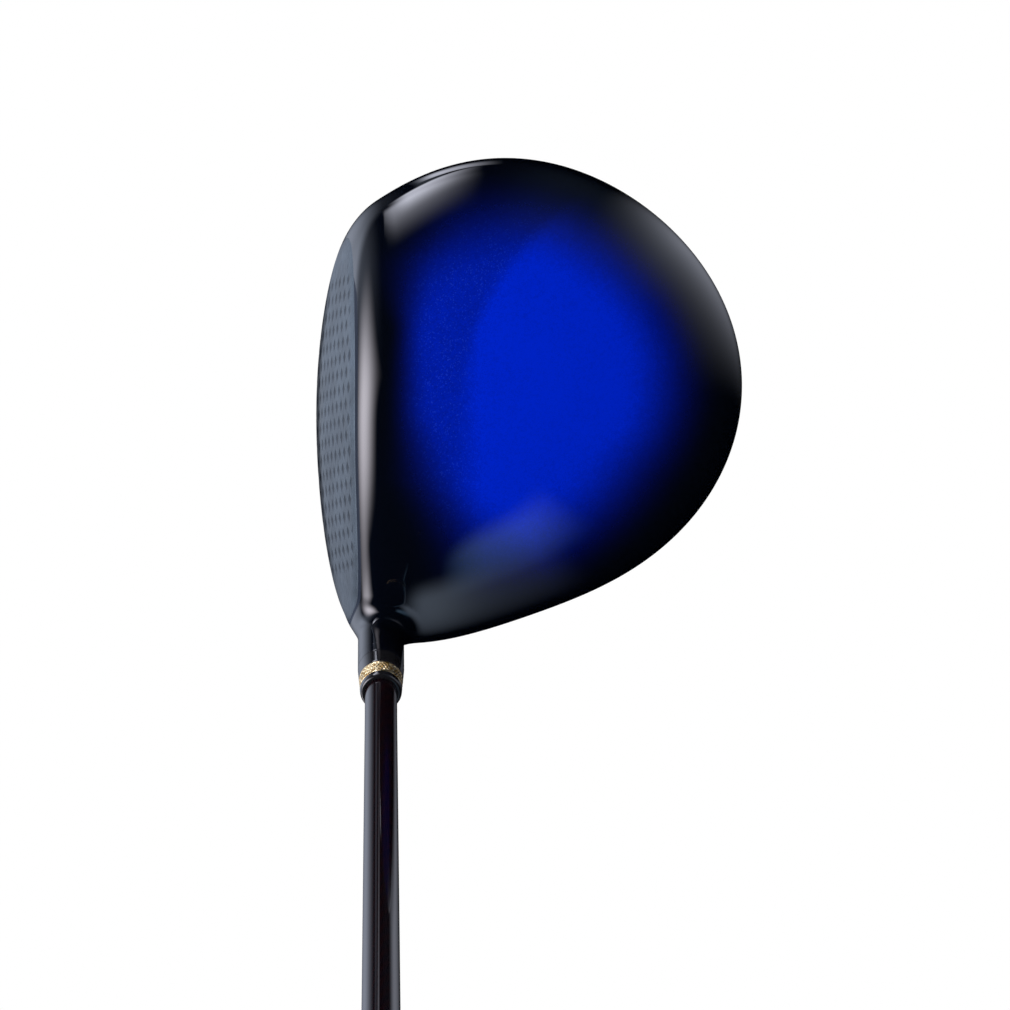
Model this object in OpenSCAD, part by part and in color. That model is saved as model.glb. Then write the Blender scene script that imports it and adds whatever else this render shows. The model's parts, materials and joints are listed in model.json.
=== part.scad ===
// Golf driver, right-handed, at address.
// Z is up and z = 0 is the ground. +X points to the rear (the face looks along -X),
// +Y points to the toe. The origin is the middle of the flat pad on the sole.
// "Along the shaft" lengths start where the shaft axis meets the ground.

/* [Head] */
// Reach of the rim from the origin to the rear
rear_reach = 78.7; // [72:0.1:84]
// Reach of the rim to the toe
toe_reach = 66.8; // [62:0.1:70]
// Reach of the rim to the heel
heel_reach = 61.9; // [58:0.1:64]
// Reach of the rounded nose that the face cuts off
nose_reach = 63; // [58:0.1:68]
// Height of the crown
crown_height = 61.5; // [58:0.1:66]
// Height of the rim at the middle of the head
rim_height = 30; // [27:0.1:33]
// How much lower the rim is at the rear than in the middle
rim_fall = 3; // [0:0.1:5]
// Roundness of the sole: 2 is an ellipse and larger is flatter
sole_power = 2.3; // [2:0.05:2.8]
// Wall thickness of the crown and the sole
wall = 0.8; // [0.7:0.05:1.4]

/* [Face] */
// Loft of the face in degrees
loft = 12; // [9:0.5:13]
// Distance of the face from the origin at mid height
face_reach = 33.1; // [31:0.1:36]
// Radius of the face from heel to toe
bulge_radius = 305; // [250:5:400]
// Radius of the face from sole to crown
roll_radius = 305; // [250:5:400]
// Blend between the face and the rest of the head
edge_blend = 7; // [5:0.5:9]
// Width of the painted lip around the face plate
lip_width = 3.2; // [2.5:0.1:4.5]
// Thickness of the face plate at its middle
face_middle = 3.4; // [3:0.1:4]
// Thickness of the face plate at its edge
face_edge = 2.4; // [2.1:0.1:2.8]

/* [Neck] */
// Angle between the shaft and the ground
lie = 59.5; // [57:0.5:62]
// Distance of the shaft axis in front of the origin
axis_front = 18.9; // [17:0.1:21]
// Where the shaft axis meets the ground, towards the heel
axis_heel = 38; // [36:0.1:40]
// Outer diameter of the neck at its top
neck_od = 12.4; // [11.8:0.02:12.8]
// Top of the neck, along the shaft
neck_top = 67.3; // [65:0.1:70]
// Size of the fillet between the neck and the head
neck_blend = 6; // [5:0.5:9]
// Bore of the neck pipe
bore_d = 8.9; // [8.8:0.02:9.1]

/* [Ferrule] */
// Length of the black collar
collar_length = 6.1; // [5:0.1:12]
// Length of the trim ring
ring_length = 5.3; // [3:0.1:8]
// Length of the end collar without its shoulder
end_length = 1; // [0.8:0.1:3]
// Length of the rounded shoulder
shoulder_length = 1.4; // [1:0.1:3]

/* [Shaft and grip] */
// Diameter of the shaft at the tip
tip_d = 8.6; // [8.4:0.02:8.7]
// Diameter of the shaft at the butt
butt_d = 15.2; // [14.5:0.1:15.6]
// Length of the club along the shaft, ground to cap
club_length = 1156; // [1100:1:1168]
// How deep the shaft sits in the neck
shaft_depth = 34; // [30:0.5:36]
// Length of the grip without its cap
grip_length = 264; // [250:1:275]
// Wall of the shaft
shaft_wall = 1.2; // [0.8:0.1:1.5]

/* [Sole weight] */
// Distance of the weight behind the origin
port_back = 52; // [46:0.5:54]
// Outer diameter of the threaded port
port_d = 26; // [25:0.5:27]
// Head diameter of the weight
weight_d = 20; // [18:0.5:20.5]
// Thread pitch of the weight
pitch = 1; // [0.75:0.25:1.25]

/* [Hidden] */

gap = 0.02;             // glue line or weld line between fixed pieces
eps = 0.01;             // overlap that keeps cuts clean
pad_sink = 0.25;        // the sole's lowest point before the flat pad is cut
badge_r = 9;            // the badge let into the flat pad
badge_depth = 0.6;
// Rim radius every 30 degrees from the rear towards the toe, over a plain ellipse
fullness = [1, 1.055, 1.076, 1, 0.887, 0.945, 1, 1.006, 1.073, 1, 0.928, 0.947];
crown_power = 2;
face_z = 30;            // height of the middle of the face
pipe_r = 5.2;
pipe_foot = 30.2;       // foot of the neck pipe, along the shaft
flare_top = 63;         // where the head's flare meets the shoulder of the pipe
flare_middle = 42;      // the fillet is measured from this point of the axis
flare_reach = 27;       // the neck's fillet ends inside this radius
spine_foot = 34;        // lower end of the rounded spine that the fillet grows from
face_points = 96;       // points round the outline of the face plate
steps = 13;             // halvings used to find a point of the surface
skin = [80, 46];        // points in a ring and rings of the outer surface
lining = [48, 24];      // the same for the inner surface

neck_r = neck_od / 2;
tip_r = tip_d / 2;
butt_r = butt_d / 2;
shaft_foot = neck_top - shaft_depth;
ring_foot = neck_top + collar_length;
end_foot = ring_foot + ring_length;
shoulder_foot = end_foot + end_length;
cap_length = 6;
cap_foot = club_length - cap_length;
grip_foot = cap_foot - grip_length;

// ---- the head's surface -------------------------------------------------------------

// Positive outside; the larger of two distances with a rounded corner.
function blend_max(a, b, k) = max(a, b) + pow(max(k - abs(a - b), 0), 2) / (4 * k);

function blend_min(a, b, k) = -blend_max(-a, -b, k);

// Weight of one sample of a smooth closed curve through n equally spaced samples.
function sample_weight(t, n) =
    abs(sin(t / 2)) < 1e-6 ? 1 : sin(n * t / 2) / (n * tan(t / 2));

function ellipse_radius(a, across, along) =
    1 / sqrt(pow(cos(a) / across, 2) + pow(sin(a) / along, 2));

rim_samples = [for (i = [0 : len(fullness) - 1])
    let (a = i * 360 / len(fullness))
    fullness[i] * ellipse_radius(a, cos(a) > 0 ? rear_reach : nose_reach,
                                 sin(a) > 0 ? toe_reach : heel_reach)];

function rim_radius(a) =
    let (n = len(rim_samples))
    rim_samples * [for (i = [0 : n - 1]) sample_weight(a - i * 360 / n, n)];

function rim_z(a) = rim_height - rim_fall * cos(a);

// Rough distance to the pebble-shaped body; r and z are measured where the rim is [R, zr].
function pebble(r, z, rim) =
    let (up = z > rim[1],
         n = up ? crown_power : sole_power,
         h = up ? crown_height - rim[1] : rim[1] + pad_sink,
         a = max(r / rim[0], 1e-4),
         b = abs(z - rim[1]) / h,
         q = pow(pow(a, n) + pow(b, n), 1 / n))
    (q - 1) / norm([pow(a / q, n - 1) / rim[0], pow(b / q, n - 1) / h]);

function face_x(y, z) =
    -face_reach + (z - face_z) * tan(loft) + y * y / (2 * bulge_radius)
    + pow(z - face_z, 2) / (2 * roll_radius);

function face(p) = (face_x(p[1], p[2]) - p[0]) * cos(loft);

// Distance to the head inset by the thicknesses t = [wall, face].
function head(p, rim, t) =
    blend_max(pebble(norm([p[0], p[1]]), p[2], rim) + t[0], face(p) + t[1], edge_blend);

function head_at(p, t) =
    let (a = atan2(p[1], p[0]))
    head(p, [rim_radius(a), rim_z(a)], t);

// A point between from (inside) and to (outside) on the surface.
function on_head(from, to, rim, t, n) =
    let (mid = (from + to) / 2)
    n == 0 ? mid
    : head(mid, rim, t) > 0 ? on_head(from, mid, rim, t, n - 1)
    : on_head(mid, to, rim, t, n - 1);

// Rings run round the face, so that one of them follows the edge of the face.
ring_turn = [[0, 0], [0.24, 53], [0.45, 66], [1, 180]];

// Surface point on the ray that leaves the middle of the head at these angles:
// turn is 0 at the face and 180 at the rear, around is measured from the toe to the crown.
function skin_point(turn, around, t) =
    let (middle = [0, 0, rim_height],
         ray = [-cos(turn) * (turn < 90 ? nose_reach : rear_reach),
                sin(turn) * cos(around) * toe_reach,
                sin(turn) * sin(around) * (crown_height - rim_height)],
         a = atan2(ray[1], ray[0]))
    on_head(middle, middle + 1.3 * ray, [rim_radius(a), rim_z(a)], t, steps);

// The closed surface of the head, from size = [points in a ring, rings].
module head_solid(size, t) {
    rings = [for (j = [1 : size[1] - 1])
        let (turn = lookup(j / size[1], ring_turn))
        [for (i = [0 : size[0] - 1]) skin_point(turn, 360 * i / size[0], t)]];
    closed_rows(rings, skin_point(0, 0, t), skin_point(180, 0, t));
}

// Faces over a stack of rings, closed by a point below and a point above.
module closed_rows(rows, low, high) {
    m = len(rows[0]);
    k = len(rows);
    last = m * k;
    polyhedron(
        points = [for (row = rows, p = row) p, low, high],
        faces = [
            for (j = [0 : k - 2], i = [0 : m - 1], f = [0, 1])
                let (a = j * m + i, b = j * m + (i + 1) % m)
                f == 0 ? [a, a + m, b + m] : [a, b + m, b],
            for (i = [0 : m - 1]) [last, i, (i + 1) % m],
            for (i = [0 : m - 1]) [last + 1, (k - 1) * m + (i + 1) % m, (k - 1) * m + i]
        ],
        convexity = 6);
}

// ---- the fillet between the neck and the head ---------------------------------------

shaft_dir = [0, -cos(lie), sin(lie)];
shaft_side = [0, sin(lie), cos(lie)];
axis_foot = [-axis_front, -axis_heel, 0];

function around_axis(s, r, a) =
    axis_foot + s * shaft_dir + r * (cos(a) * [1, 0, 0] + sin(a) * shaft_side);

// The head is sunk a little here, so that away from the fillet this lies under its skin.
function with_neck(p) =
    let (sunk = 0.2,
         d = p - axis_foot,
         s = max(d * shaft_dir, spine_foot))
    blend_min(head_at(p, [sunk, sunk]), norm(d - s * shaft_dir) - neck_r, neck_blend);

function on_neck(from, to, n) =
    let (mid = (from + to) / 2)
    n == 0 ? mid
    : with_neck(mid) > 0 ? on_neck(from, mid, n - 1)
    : on_neck(mid, to, n - 1);

// Rings of rays from a point of the axis inside the head, so the fillet is met squarely.
module flare() {
    spokes = 72;
    rings = 30;
    rays = [for (j = [1 : rings - 1])
        let (turn = 180 - 180 * j / rings)
        [for (i = [0 : spokes - 1])
            let (from = around_axis(flare_middle, 0, 0),
                 to = around_axis(flare_middle + flare_reach * cos(turn),
                                  flare_reach * sin(turn), 360 * i / spokes))
            on_neck(from, to, steps)]];
    closed_rows(rays, around_axis(flare_middle - 20, 0, 0),
                around_axis(flare_middle + flare_reach, 0, 0));
}

// ---- placing ------------------------------------------------------------------------

module along_shaft(s = 0) {
    translate(axis_foot) rotate([90 - lie, 0, 0]) translate([0, 0, s]) children();
}

// A tube along the shaft from [s, inner r, outer r] stations.
module shaft_ring(stations, fn = 96) {
    n = len(stations);
    along_shaft() rotate_extrude($fn = fn)
        polygon([for (q = stations) [q[2], q[0]],
                 for (i = [n - 1 : -1 : 0]) [stations[i][1], stations[i][0]]]);
}

port_rim = [rim_radius(0), rim_z(0)];
port_a = port_back / port_rim[0];
port_h = port_rim[1] + pad_sink;
port_c = pow(1 - pow(port_a, sole_power), 1 / sole_power);
port_z = port_rim[1] - port_h * port_c;
port_tilt = atan(port_h / port_rim[0] * pow(port_a / port_c, sole_power - 1));

// Local +z points out of the sole, and z = 0 is the sole's outer surface.
module at_port() {
    translate([port_back, 0, port_z]) rotate([0, 180 - port_tilt, 0]) children();
}

module port_ring(profile) {
    at_port() rotate_extrude($fn = 96) polygon(profile);
}

// ---- head pieces --------------------------------------------------------------------

module cavity(extra = 0) {
    head_solid(lining, [wall + extra, face_edge + extra]);
}

// Room for the pipe, and everything of the flare above its top.
module neck_cut() {
    clear = 2;
    shaft_ring([[pipe_foot - gap, 0, pipe_r + gap], [flare_top + 2 * eps, 0, pipe_r + gap]]);
    shaft_ring([[flare_top, 0, neck_r + clear],
                [flare_middle + flare_reach + 1, 0, neck_r + clear]]);
}

// Distance in the plane of the face from its middle to the outline inset by t.
function outline_reach(a, t, from = 0, to = 80, n = steps) =
    let (mid = (from + to) / 2,
         y = mid * cos(a),
         z = face_z + mid * sin(a),
         x = face_x(y, z),
         turn = atan2(y, x))
    n == 0 ? mid
    : pebble(norm([x, y]), z, [rim_radius(turn), rim_z(turn)]) + t > 0
        ? outline_reach(a, t, from, mid, n - 1)
    : outline_reach(a, t, mid, to, n - 1);

// The skin of the head in front of a point of the face, with the blend at the edge.
function face_skin(y, z) =
    let (near = [face_x(y, z) - 1, y, z],
         far = near + [6, 0, 0],
         turn = atan2(y, near[0]))
    on_head(far, near, [rim_radius(turn), rim_z(turn)], [0, 0], steps);

function face_back(y, z) =
    let (thick = exp(-pow(y / 30, 2) - pow((z - face_z) / 16, 2)))
    [face_x(y, z) + (face_edge + (face_middle - face_edge) * thick) / cos(loft), y, z];

function face_ring(size, reach, back) = [for (i = [0 : len(reach) - 1])
    let (a = 360 * i / len(reach),
         y = size * reach[i] * cos(a),
         z = face_z + size * reach[i] * sin(a))
    back ? face_back(y, z) : face_skin(y, z)];

module face_opening() {
    depth = face_edge + 6;
    reach = [for (i = [0 : face_points - 1])
        outline_reach(360 * i / face_points, lip_width) + gap];
    rings = [for (d = [-10, depth])
        [for (p = face_ring(1, reach, true)) p + [d, 0, 0]]];
    closed_rows(rings, [-face_reach - 10, 0, face_z], [-face_reach + depth + 4, 0, face_z]);
}

module head_wall() {
    difference() {
        union() {
            head_solid(skin, [0, 0]);
            flare();
        }
        cavity();
        face_opening();
        neck_cut();
        at_port() cylinder(h = 40, r = port_d / 2 + gap, center = true, $fn = 96);
        translate([0, 0, -gap]) cylinder(h = badge_depth + gap, r = badge_r + gap, $fn = 96);
        translate([-100, -100, -20]) cube([200, 200, 20]);
    }
}

// Everything above the seam between the crown and the sole, which follows the rim.
module above_seam(lift) {
    seam_tilt = atan(rim_fall / rear_reach);
    translate([0, 0, rim_height - 2.5 + lift]) rotate([0, seam_tilt, 0])
        translate([-120, -120, 0]) cube([240, 240, 80]);
}

module crown_shell() {
    color([0.01, 0.03, 0.35]) resize([0, 0, 0]) intersection() {
        head_wall();
        above_seam(gap);
    }
}

module sole_shell() {
    color([0.03, 0.03, 0.04]) resize([0, 0, 0]) difference() {
        head_wall();
        above_seam(0);
    }
}

module face_plate() {
    sizes = [0.15, 0.3, 0.45, 0.6, 0.75, 0.87, 0.95, 1];
    last = len(sizes) - 1;
    reach = [for (i = [0 : face_points - 1]) outline_reach(360 * i / face_points, lip_width)];
    color([0.5, 0.53, 0.57]) closed_rows(
        [for (k = [0 : last]) face_ring(sizes[k], reach, false),
         for (k = [0 : last]) face_ring(sizes[last - k], reach, true)],
        face_skin(0, face_z), face_back(0, face_z));
}

module neck_pipe() {
    color([0.04, 0.04, 0.05]) shaft_ring([
        [pipe_foot, bore_d / 2, pipe_r],
        [flare_top + gap + eps, bore_d / 2, pipe_r],
        [flare_top + gap + eps, bore_d / 2, neck_r],
        [neck_top, bore_d / 2, neck_r]]);
}

module neck_plug() {
    color([0.75, 0.72, 0.65])
        shaft_ring([[pipe_foot + 0.3, 0, bore_d / 2 - gap], [shaft_foot - gap, 0, bore_d / 2 - gap]]);
}

module sole_ribs() {
    rib = [70, 1, 7];
    color([0.6, 0.6, 0.62]) resize([0, 0, 0]) intersection() {
        cavity(gap);
        for (y = [-20, 24])
            translate([-rib[0] / 2, y, 0]) cube([rib[0], rib[1], wall + rib[2]]);
    }
}

module hot_melt_pad() {
    color([0.85, 0.75, 0.4]) resize([0, 0, 0]) intersection() {
        cavity(gap);
        translate([-14, 2, 0]) rotate_extrude($fn = 48)
            polygon([[0, 0], [9, 0], [9, 3], [7, 4.4], [0, 5]]);
    }
}

module sole_badge() {
    color([0.55, 0.56, 0.58]) cylinder(h = badge_depth - gap, r = badge_r, $fn = 96);
}

// ---- the rear weight: lengths are along the port, from the sole inwards ----------------

port_sunk = 0.7;        // the port's rim sits this far below the sole's surface
port_depth = 14;
seat_depth = 5.2;       // seat under the washer
washer_height = 0.8;
thread_r = 4;
thread_length = 6.5;
running = 0.05;         // radial running clearance of everything that turns

module weight_port() {
    color([0.42, 0.43, 0.45]) port_ring([
        [0, -port_depth], [port_d / 2 - 3, -port_depth], [port_d / 2, -port_depth + 3],
        [port_d / 2, -port_sunk], [weight_d / 2 + running, -port_sunk],
        [weight_d / 2 + running, -seat_depth], [thread_r + running, -seat_depth],
        [thread_r + running, -port_depth + 1.2], [0, -port_depth + 1.2]]);
}

module weight_washer() {
    top = -seat_depth + washer_height;
    color([0.08, 0.08, 0.08]) port_ring([
        [thread_r + running, -seat_depth + gap], [weight_d / 2 - 0.6, -seat_depth + gap],
        [weight_d / 2 - 0.6, top - gap], [thread_r + running, top - gap]]);
}

module weight_screw() {
    under = -seat_depth + washer_height;
    foot = under - washer_height - thread_length;
    color([0.62, 0.6, 0.55]) at_port() difference() {
        rotate_extrude($fn = 96) polygon([
            [0, foot], [thread_r - 0.6, foot], [thread_r, foot + 0.6], [thread_r, under],
            [weight_d / 2, under], [weight_d / 2, -port_sunk - 0.8],
            [weight_d / 2 - 0.6, -port_sunk - 0.2], [0, -port_sunk - 0.2]]);
        translate([0, 0, -port_sunk - 3.2]) linear_extrude(4) drive_star();
    }
}

// Six-lobed drive socket.
module drive_star() {
    lobes = 6;
    circle(r = 2.1, $fn = 48);
    for (i = [0 : lobes - 1])
        rotate(i * 360 / lobes) translate([2, 0]) circle(r = 0.55, $fn = 24);
}

// ---- ferrule ---------------------------------------------------------------------------

ferrule_in = tip_r + gap;
ferrule_slope = (neck_r - 5.6) / (shoulder_foot - neck_top);

function ferrule_r(s) = neck_r - ferrule_slope * (s - neck_top);

module ferrule_collar() {
    color([0.03, 0.03, 0.03]) shaft_ring([
        [neck_top + gap, ferrule_in, ferrule_r(neck_top) - 0.15],
        [neck_top + 0.25, ferrule_in, ferrule_r(neck_top)],
        [ring_foot - 0.15, ferrule_in, ferrule_r(ring_foot)],
        [ring_foot - gap, ferrule_in, ferrule_r(ring_foot) - 0.13]]);
}

module ferrule_ring() {
    color([0.88, 0.78, 0.55]) shaft_ring([
        [ring_foot, ferrule_in, ferrule_r(ring_foot) - 0.15],
        [ring_foot + 0.2, ferrule_in, ferrule_r(ring_foot)],
        [end_foot - 0.2, ferrule_in, ferrule_r(end_foot)],
        [end_foot, ferrule_in, ferrule_r(end_foot) - 0.15]]);
}

module ferrule_end_collar() {
    turns = 6;
    round_in = ferrule_r(shoulder_foot) - tip_r - 0.45;
    color([0.03, 0.03, 0.03]) shaft_ring([
        [end_foot + gap, ferrule_in, ferrule_r(end_foot) - 0.13],
        [end_foot + 0.15, ferrule_in, ferrule_r(end_foot)],
        for (i = [0 : turns])
            let (a = 90 * i / turns)
            [shoulder_foot + shoulder_length * sin(a), ferrule_in,
             ferrule_r(shoulder_foot) - round_in * (1 - cos(a))]]);
}

// ---- shaft -----------------------------------------------------------------------------

taper_foot = shaft_foot + 62;
taper_top = club_length - 146;
tape_height = 0.4;

function shaft_r(s) =
    tip_r + (butt_r - tip_r) * min(max((s - taper_foot) / (taper_top - taper_foot), 0), 1);

module epoxy_layer() {
    color([0.8, 0.78, 0.6]) shaft_ring([
        [shaft_foot, tip_r + gap, bore_d / 2 - gap],
        [neck_top - gap, tip_r + gap, bore_d / 2 - gap]]);
}

module shaft_tube() {
    color([0.04, 0.05, 0.09])
        shaft_ring([for (s = [shaft_foot, taper_foot, taper_top, cap_foot - 0.5])
            [s, shaft_r(s) - shaft_wall, shaft_r(s)]]);
}

module shaft_tip_plug() {
    color([0.7, 0.55, 0.35])
        shaft_ring([[shaft_foot + 1, 0, tip_r - shaft_wall - gap],
                    [shaft_foot + 13, 0, tip_r - shaft_wall - gap]]);
}

// ---- grip ------------------------------------------------------------------------------

mouth_r = 9.3;
butt_grip_r = 12.9;
vent_r = 2;
butt_land = 40;         // parallel length under the cap

module grip_tape() {
    color([0.9, 0.88, 0.8])
        shaft_ring([for (s = [grip_foot + 8, taper_top, cap_foot - 1])
            [s, shaft_r(s) + gap, shaft_r(s) + gap + tape_height]]);
}

module grip_sleeve() {
    in = tape_height + 2 * gap;
    land = cap_foot - butt_land;
    slope = (butt_grip_r - mouth_r) / (land - grip_foot);
    function out_r(s) = mouth_r + slope * (s - grip_foot);
    color([0.06, 0.06, 0.065]) shaft_ring([
        [grip_foot, shaft_r(grip_foot) + in, mouth_r - 0.6],
        [grip_foot + 0.8, shaft_r(grip_foot + 0.8) + in, mouth_r + 0.3],
        [grip_foot + 4, shaft_r(grip_foot + 4) + in, mouth_r + 0.3],
        [grip_foot + 5, shaft_r(grip_foot + 5) + in, out_r(grip_foot + 5)],
        [taper_top, shaft_r(taper_top) + in, out_r(taper_top)],
        [land, shaft_r(taper_top) + in, butt_grip_r],
        [cap_foot, shaft_r(taper_top) + in, butt_grip_r]]);
}

// No wider than the grip, so that a clamp's sleeve slides on from the butt.
module grip_cap() {
    turns = 6;
    edge = 3;
    groove = 0.3;
    color([0.06, 0.06, 0.065]) shaft_ring([
        [cap_foot + gap, vent_r, butt_grip_r - groove],
        [cap_foot + groove, vent_r, butt_grip_r],
        for (i = [0 : turns])
            let (a = 90 * i / turns)
            [club_length - edge + edge * sin(a), vent_r, butt_grip_r - edge * (1 - cos(a))]]);
}

crown_shell();
sole_shell();
face_plate();
neck_pipe();
neck_plug();
sole_ribs();
hot_melt_pad();
sole_badge();
weight_port();
weight_screw();
weight_washer();
ferrule_collar();
ferrule_ring();
ferrule_end_collar();
epoxy_layer();
shaft_tube();
shaft_tip_plug();
grip_tape();
grip_sleeve();
grip_cap();
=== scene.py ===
import json
import math
import bpy
import numpy as np
from mathutils import Matrix, Vector


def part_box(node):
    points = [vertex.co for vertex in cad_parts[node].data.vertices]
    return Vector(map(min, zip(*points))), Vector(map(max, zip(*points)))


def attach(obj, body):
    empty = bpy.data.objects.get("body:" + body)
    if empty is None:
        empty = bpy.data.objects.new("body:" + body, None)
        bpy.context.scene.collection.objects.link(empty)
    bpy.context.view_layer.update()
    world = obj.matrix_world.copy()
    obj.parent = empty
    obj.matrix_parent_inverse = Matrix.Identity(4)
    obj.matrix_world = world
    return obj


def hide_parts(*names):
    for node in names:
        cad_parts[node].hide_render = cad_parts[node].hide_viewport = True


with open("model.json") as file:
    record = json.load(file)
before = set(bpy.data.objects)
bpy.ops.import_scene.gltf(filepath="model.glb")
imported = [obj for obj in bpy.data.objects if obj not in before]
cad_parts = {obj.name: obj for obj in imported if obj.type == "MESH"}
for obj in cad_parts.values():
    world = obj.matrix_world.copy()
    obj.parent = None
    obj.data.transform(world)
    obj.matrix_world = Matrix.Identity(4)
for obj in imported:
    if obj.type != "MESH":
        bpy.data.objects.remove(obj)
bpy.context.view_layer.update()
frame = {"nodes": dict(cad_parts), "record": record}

MM = 0.001

# ---- the head's surface, with the same names and values as the part's source ----------------
rear_reach, toe_reach, heel_reach, nose_reach = 78.7, 66.8, 61.9, 63.0
crown_height, rim_height, rim_fall = 61.5, 30.0, 3.0
crown_power, sole_power, pad_sink = 2.0, 2.3, 0.25
fullness = [1, 1.055, 1.076, 1, 0.887, 0.945, 1, 1.006, 1.073, 1, 0.928, 0.947]
loft, face_reach, face_z = math.radians(12), 33.1, 30.0
bulge_radius = roll_radius = 305.0
edge_blend, lip_width = 7.0, 3.2
face_edge = 2.4
lie = math.radians(59.5)
axis_foot = np.array([-18.9, -38.0, 0.0])
neck_r, neck_blend, spine_foot = 6.2, 6.0, 34.0
neck_top, flare_top, flare_middle, flare_reach = 67.3, 63.0, 42.0, 27.0
ring_turn = ([0, 0.24, 0.45, 1], [0, 53, 66, 180])

shaft_dir = np.array([0, -math.cos(lie), math.sin(lie)])
shaft_side = np.array([0, math.sin(lie), math.cos(lie)])
X_AXIS, Y_AXIS = np.eye(3)[:2]


def blend_max(a, b, k):
    """The larger of two values, rounded where they are within k of each other."""
    return np.maximum(a, b) + np.maximum(k - np.abs(a - b), 0) ** 2 / (4 * k)


def blend_min(a, b, k):
    return -blend_max(-a, -b, k)


def rim_samples():
    """Radii of the widest outline at even angles: a different ellipse in each quarter, filled out or
    drawn in a little by fullness."""
    out = []
    for i, full in enumerate(fullness):
        a = 2 * math.pi * i / len(fullness)
        across = rear_reach if math.cos(a) > 0 else nose_reach
        along = toe_reach if math.sin(a) > 0 else heel_reach
        out.append(full / math.hypot(math.cos(a) / across, math.sin(a) / along))
    return out


RIM = rim_samples()


def rim_radius(a):
    """The smooth closed curve through the samples, at angle a."""
    n, total = len(RIM), 0
    for i, r in enumerate(RIM):
        t = a - 2 * math.pi * i / n
        near = np.abs(np.sin(t / 2)) < 1e-7
        total = total + r * np.where(near, 1, np.sin(n * t / 2) / (n * np.where(near, 1, np.tan(t / 2))))
    return total


def pebble(p):
    """About the distance outside the head's rounded body, less than 0 inside it."""
    a = np.arctan2(p[..., 1], p[..., 0])
    rim, zr = rim_radius(a), rim_height - rim_fall * np.cos(a)
    up = p[..., 2] > zr
    n = np.where(up, crown_power, sole_power)
    h = np.where(up, crown_height - zr, zr + pad_sink)
    u = np.maximum(np.hypot(p[..., 0], p[..., 1]) / rim, 1e-4)
    v = np.abs(p[..., 2] - zr) / h
    q = (u**n + v**n) ** (1 / n)
    return (q - 1) / np.hypot((u / q) ** (n - 1) / rim, (v / q) ** (n - 1) / h)


def face_x(y, z):
    """How far forward the bulged and rolled face is at y and z."""
    return (-face_reach + (z - face_z) * math.tan(loft) + y * y / (2 * bulge_radius)
            + (z - face_z) ** 2 / (2 * roll_radius))


def head(p):
    """The rounded body cut off by the face, with a soft edge between them."""
    front = (face_x(p[..., 1], p[..., 2]) - p[..., 0]) * math.cos(loft)
    return blend_max(pebble(p), front, edge_blend)


def neck(p):
    """Distance outside the neck's cylinder, which has a round lower end."""
    d = p - axis_foot
    s = np.maximum(d @ shaft_dir, spine_foot)
    return np.linalg.norm(d - s[..., None] * shaft_dir, axis=-1) - neck_r


def skin(p):
    """The whole outside of the head: less than 0 inside, and 0 on the surface."""
    return blend_min(head(p), neck(p), neck_blend)


def outward(p):
    """Unit normals of the skin at points p."""
    h = 0.01
    g = np.stack([skin(p + h * e) - skin(p - h * e) for e in np.eye(3)], axis=-1)
    return g / np.linalg.norm(g, axis=-1, keepdims=True)


def on_surface(inside, outside, f=skin):
    """Halves the way between points inside and outside until it meets f = 0."""
    a, b = np.broadcast_arrays(inside, outside)
    a, b = a.astype(float), b.astype(float)
    for _ in range(22):
        mid = (a + b) / 2
        out = (f(mid) > 0)[..., None]
        a, b = np.where(out, a, mid), np.where(out, mid, b)
    return (a + b) / 2


# ---- meshes ---------------------------------------------------------------------------------
def grid_faces(rows, cols, wrap=True, loop=False):
    """Triangles of a grid of rows by cols points, joined end to end across and, with loop, along."""
    i = np.arange(rows if loop else rows - 1)[:, None]
    j = np.arange(cols if wrap else cols - 1)[None, :]
    k, low, high = (j + 1) % cols, i * cols, (i + 1) % rows * cols
    a, b, c, d = low + j, low + k, high + k, high + j
    return np.stack([a, b, c, a, c, d], axis=-1).reshape(-1, 3)


def clip(verts, tris, value):
    """The part of a triangle mesh where value(points) > 0, cut cleanly along value = 0."""
    f = value(verts)
    keep = f > 0
    count = keep[tris].sum(1)
    whole = tris[count == 3]
    new_verts, made, out = list(verts), {}, []

    def crossing(i, j):
        key = (min(i, j), max(i, j))
        if key not in made:
            made[key] = len(new_verts)
            t = f[i] / (f[i] - f[j])
            new_verts.append(verts[i] + t * (verts[j] - verts[i]))
        return made[key]

    for tri in tris[(count == 1) | (count == 2)]:
        for _ in range(3):
            lone_in = keep[tri[0]] and not keep[tri[1]] and not keep[tri[2]]
            lone_out = not keep[tri[0]] and keep[tri[1]] and keep[tri[2]]
            if lone_in or lone_out:
                break
            tri = np.roll(tri, -1)
        i, j, k = (int(x) for x in tri)
        ij, ik = crossing(i, j), crossing(i, k)
        if lone_in:
            out.append([i, ij, ik])
        else:
            out += [[ij, j, k], [ij, k, ik]]
    faces = np.vstack([whole, np.array(out, int).reshape(-1, 3)])
    used, index = np.unique(faces, return_inverse=True)
    return np.array(new_verts)[used], index.reshape(-1, 3)


def join(parts):
    """One list of points and one of triangles from several."""
    verts, faces, n = [], [], 0
    for v, f in parts:
        verts.append(v)
        faces.append(np.asarray(f) + n)
        n += len(v)
    return np.vstack(verts), np.vstack(faces)


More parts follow.
